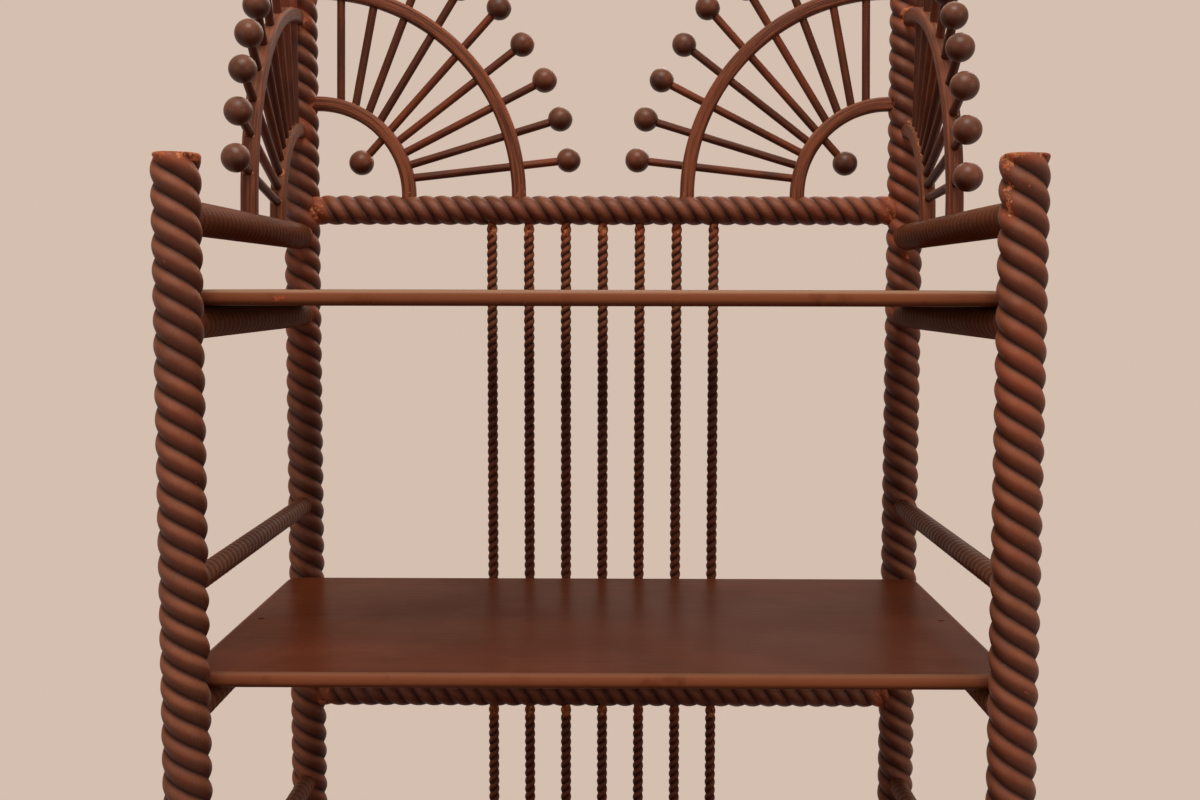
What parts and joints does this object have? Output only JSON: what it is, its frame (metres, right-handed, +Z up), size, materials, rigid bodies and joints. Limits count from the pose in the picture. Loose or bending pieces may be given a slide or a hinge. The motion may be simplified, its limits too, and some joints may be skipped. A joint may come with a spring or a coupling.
{
  "type": "etagere",
  "caption": "Stick-and-ball etagere with rope-twist posts and back rails, open board shelves on twisted side rails, a spindled back and corner fans of dowels tipped with balls.",
  "frame": {"origin": "on the floor, centred between the four posts", "axes": "+Z up, +Y towards the back, +X to the right seen from the front"},
  "size_m": [0.5932, 0.4352, 1.335],
  "materials": {
    "post_wood": "dark reddish-brown stained and varnished rope-twist turning, worn to orange-brown at edges",
    "back_rail_wood": "dark reddish-brown stained and varnished rope-twist turning",
    "spindle_wood": "dark reddish-brown stained and varnished fine twist turning",
    "side_rail_wood": "dark greyish-brown stained rope-twist turning with shallow grooves, satin",
    "shelf_board": "reddish-brown stained board, satin varnish, lightly scratched",
    "bow_wood": "stained bent wood with orange-brown grain streaks, satin varnish",
    "spoke_wood": "dark stained dowel, satin",
    "ball_wood": "dark reddish-brown stained turned ball, satin varnish",
    "nail_iron": "dark oxidised iron"
  },
  "bodies": {
    "root": {"front_post_left": "post_wood", "back_post_left": "post_wood", "front_post_right": "post_wood", "back_post_right": "post_wood", "back_rail_top": "back_rail_wood", "back_rail_middle": "back_rail_wood", "back_rail_bottom": "back_rail_wood", "upper_spindle_1": "spindle_wood", "upper_spindle_2": "spindle_wood", "upper_spindle_3": "spindle_wood", "upper_spindle_4": "spindle_wood", "upper_spindle_5": "spindle_wood", "upper_spindle_6": "spindle_wood", "upper_spindle_7": "spindle_wood", "lower_spindle_1": "spindle_wood", "lower_spindle_2": "spindle_wood", "lower_spindle_3": "spindle_wood", "lower_spindle_4": "spindle_wood", "lower_spindle_5": "spindle_wood", "lower_spindle_6": "spindle_wood", "lower_spindle_7": "spindle_wood", "shelf_1": "shelf_board", "bearer_rail_1_left": "side_rail_wood", "gallery_rail_1_left": "side_rail_wood", "bearer_rail_1_right": "side_rail_wood", "gallery_rail_1_right": "side_rail_wood", "shelf_2": "shelf_board", "bearer_rail_2_left": "side_rail_wood", "gallery_rail_2_left": "side_rail_wood", "bearer_rail_2_right": "side_rail_wood", "gallery_rail_2_right": "side_rail_wood", "shelf_3": "shelf_board", "bearer_rail_3_left": "side_rail_wood", "gallery_rail_3_left": "side_rail_wood", "bearer_rail_3_right": "side_rail_wood", "gallery_rail_3_right": "side_rail_wood", "shelf_4": "shelf_board", "bearer_rail_4_left": "side_rail_wood", "gallery_rail_4_left": "side_rail_wood", "bearer_rail_4_right": "side_rail_wood", "gallery_rail_4_right": "side_rail_wood", "shelf_nails": "nail_iron", "back_fan_left_outer_bow": "bow_wood", "back_fan_left_inner_bow": "bow_wood", "back_fan_left_spokes": "spoke_wood", "back_fan_left_balls": "ball_wood", "side_fan_left_outer_bow": "bow_wood", "side_fan_left_inner_bow": "bow_wood", "side_fan_left_spokes": "spoke_wood", "side_fan_left_balls": "ball_wood", "back_fan_right_outer_bow": "bow_wood", "back_fan_right_inner_bow": "bow_wood", "back_fan_right_spokes": "spoke_wood", "back_fan_right_balls": "ball_wood", "side_fan_right_outer_bow": "bow_wood", "side_fan_right_inner_bow": "bow_wood", "side_fan_right_spokes": "spoke_wood", "side_fan_right_balls": "ball_wood"}
  },
  "joints": []
}
